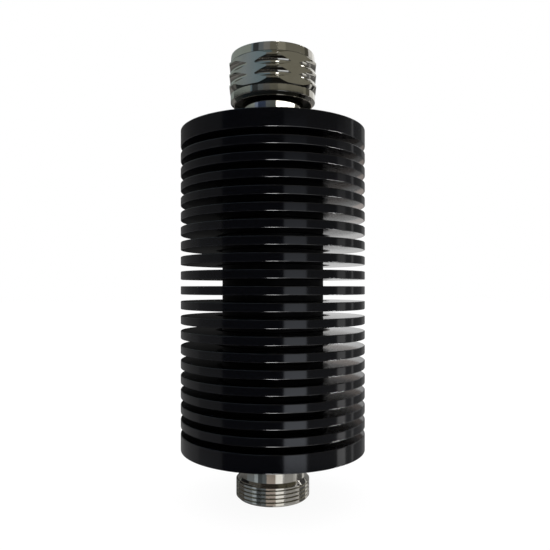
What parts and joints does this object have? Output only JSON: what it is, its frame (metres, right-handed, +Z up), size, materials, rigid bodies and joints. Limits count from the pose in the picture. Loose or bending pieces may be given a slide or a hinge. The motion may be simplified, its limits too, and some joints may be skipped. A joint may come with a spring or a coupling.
{
  "type": "coaxial rf attenuator",
  "caption": "Finned black cylindrical power attenuator for a coaxial line, with a plug and its turning hexagon coupling nut at the top and a threaded jack at the bottom.",
  "frame": {"origin": "centre of the jack's end face, which the part stands on", "axes": "+Z up along the line from the jack to the plug; -Y faces the camera of the picture, with a corner of the nut on -Y"},
  "size_m": [0.0724, 0.0724, 0.1741],
  "materials": {
    "black_anodised": "glossy black anodised",
    "plated_brass": "bright plated, nickel coloured",
    "plated_nut": "bright plated, nickel coloured",
    "silver_contact": "silver plated",
    "white_insulator": "matt white fluoroplastic",
    "seal_rubber": "matt silicone rubber",
    "steel": "plain spring and screw steel",
    "bare_alloy": "machined",
    "copper": "bare copper",
    "ceramic": "matt white ceramic"
  },
  "bodies": {
    "attenuator": {"heatsink": "black_anodised", "plug_body": "plated_brass", "plug_seal": "seal_rubber", "plug_contact_sleeve": "silver_contact", "plug_bead": "white_insulator", "plug_pin": "silver_contact", "plug_rod": "silver_contact", "plug_gasket": "seal_rubber", "nut_snap_ring": "steel", "jack_body": "plated_brass", "jack_seal": "seal_rubber", "jack_liner": "silver_contact", "jack_bead": "white_insulator", "jack_socket": "silver_contact", "jack_rod": "silver_contact", "chip_carrier": "bare_alloy", "carrier_cover": "bare_alloy", "cover_screws": "steel", "chip_flange": "copper", "flange_screws": "steel", "attenuator_chip": "ceramic", "chip_lid": "ceramic", "input_tab": "copper", "output_tab": "copper"},
    "nut": {"coupling_nut": "plated_nut"}
  },
  "joints": [
    {"name": "nut_spin", "type": "hinge", "parent": "attenuator", "child": "nut", "pos_m": [0, 0, 0.1585], "axis": [0, 0, 1], "continuous": true}
  ]
}
